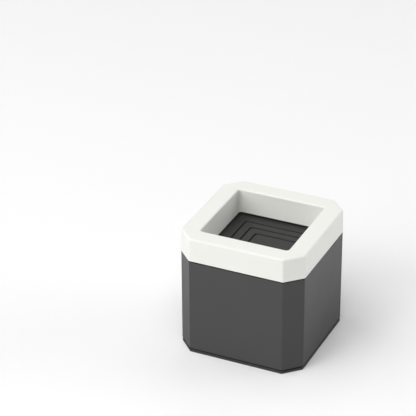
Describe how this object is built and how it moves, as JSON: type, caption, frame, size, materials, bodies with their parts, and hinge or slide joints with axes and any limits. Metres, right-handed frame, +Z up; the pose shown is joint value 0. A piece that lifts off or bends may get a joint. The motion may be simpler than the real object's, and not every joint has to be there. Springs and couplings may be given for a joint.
{
  "type": "bed riser",
  "caption": "Square bed riser with cut corners: hollow charcoal body, off-white collar round a square leg recess, grooved rubber leg pad and rubber base pad.",
  "frame": {"origin": "on the floor, under the middle of the base", "axes": "+Z up, through the middle of the leg recess; -Y out of the front face"},
  "size_m": [0.1208, 0.1208, 0.1184],
  "materials": {
    "body": "satin charcoal with a fine moulded texture",
    "collar": "satin off-white",
    "leg_pad": "matte black with square grooves",
    "base_pad": "matte dark grey"
  },
  "bodies": {
    "root": {"body": "body", "top_collar": "collar", "leg_pad": "leg_pad", "base_pad": "base_pad"}
  },
  "joints": []
}
